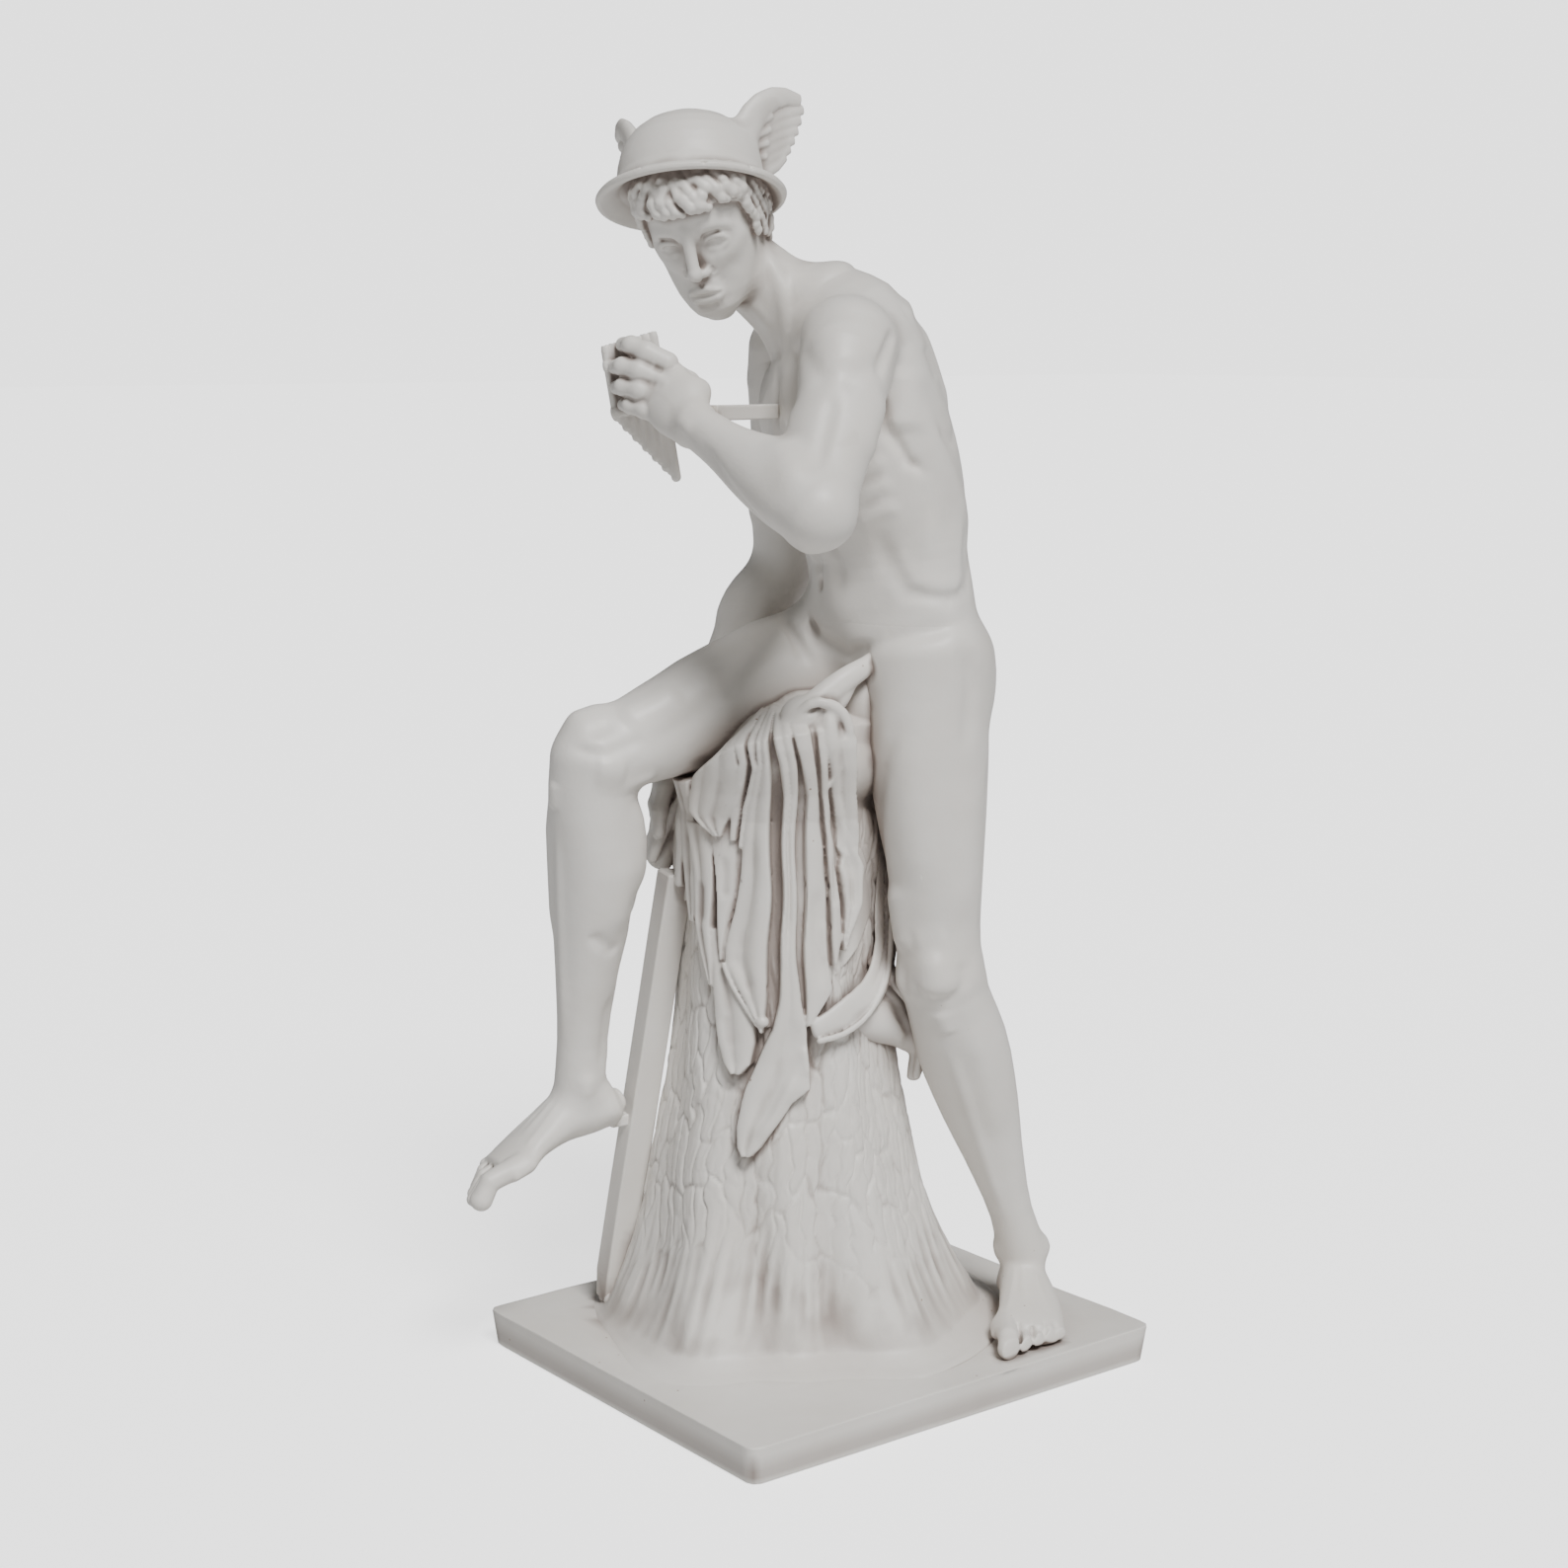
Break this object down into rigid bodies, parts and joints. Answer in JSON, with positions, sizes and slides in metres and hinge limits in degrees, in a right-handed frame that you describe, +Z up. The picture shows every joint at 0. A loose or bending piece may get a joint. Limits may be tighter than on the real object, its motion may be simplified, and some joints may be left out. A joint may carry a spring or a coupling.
{
  "type": "tabletop statue",
  "caption": "Cast alabaster tabletop statue of a youth in a winged hat, half seated on a draped tree stump with a set of reed pipes in hand, on a rectangular slab.",
  "frame": {"origin": "centre of the slab's underside, on the surface the statue stands on", "axes": "+Z up, -X the way the figure faces, -Y its left side"},
  "size_m": [0.1748, 0.1346, 0.372],
  "materials": {
    "alabaster": "cast and carved alabaster, warm off-white, semi-matt with a faint wax sheen, greyer and brown-pink tints in the hollows and small brown casting pits"
  },
  "bodies": {
    "root": {"statue": "alabaster"}
  },
  "joints": []
}
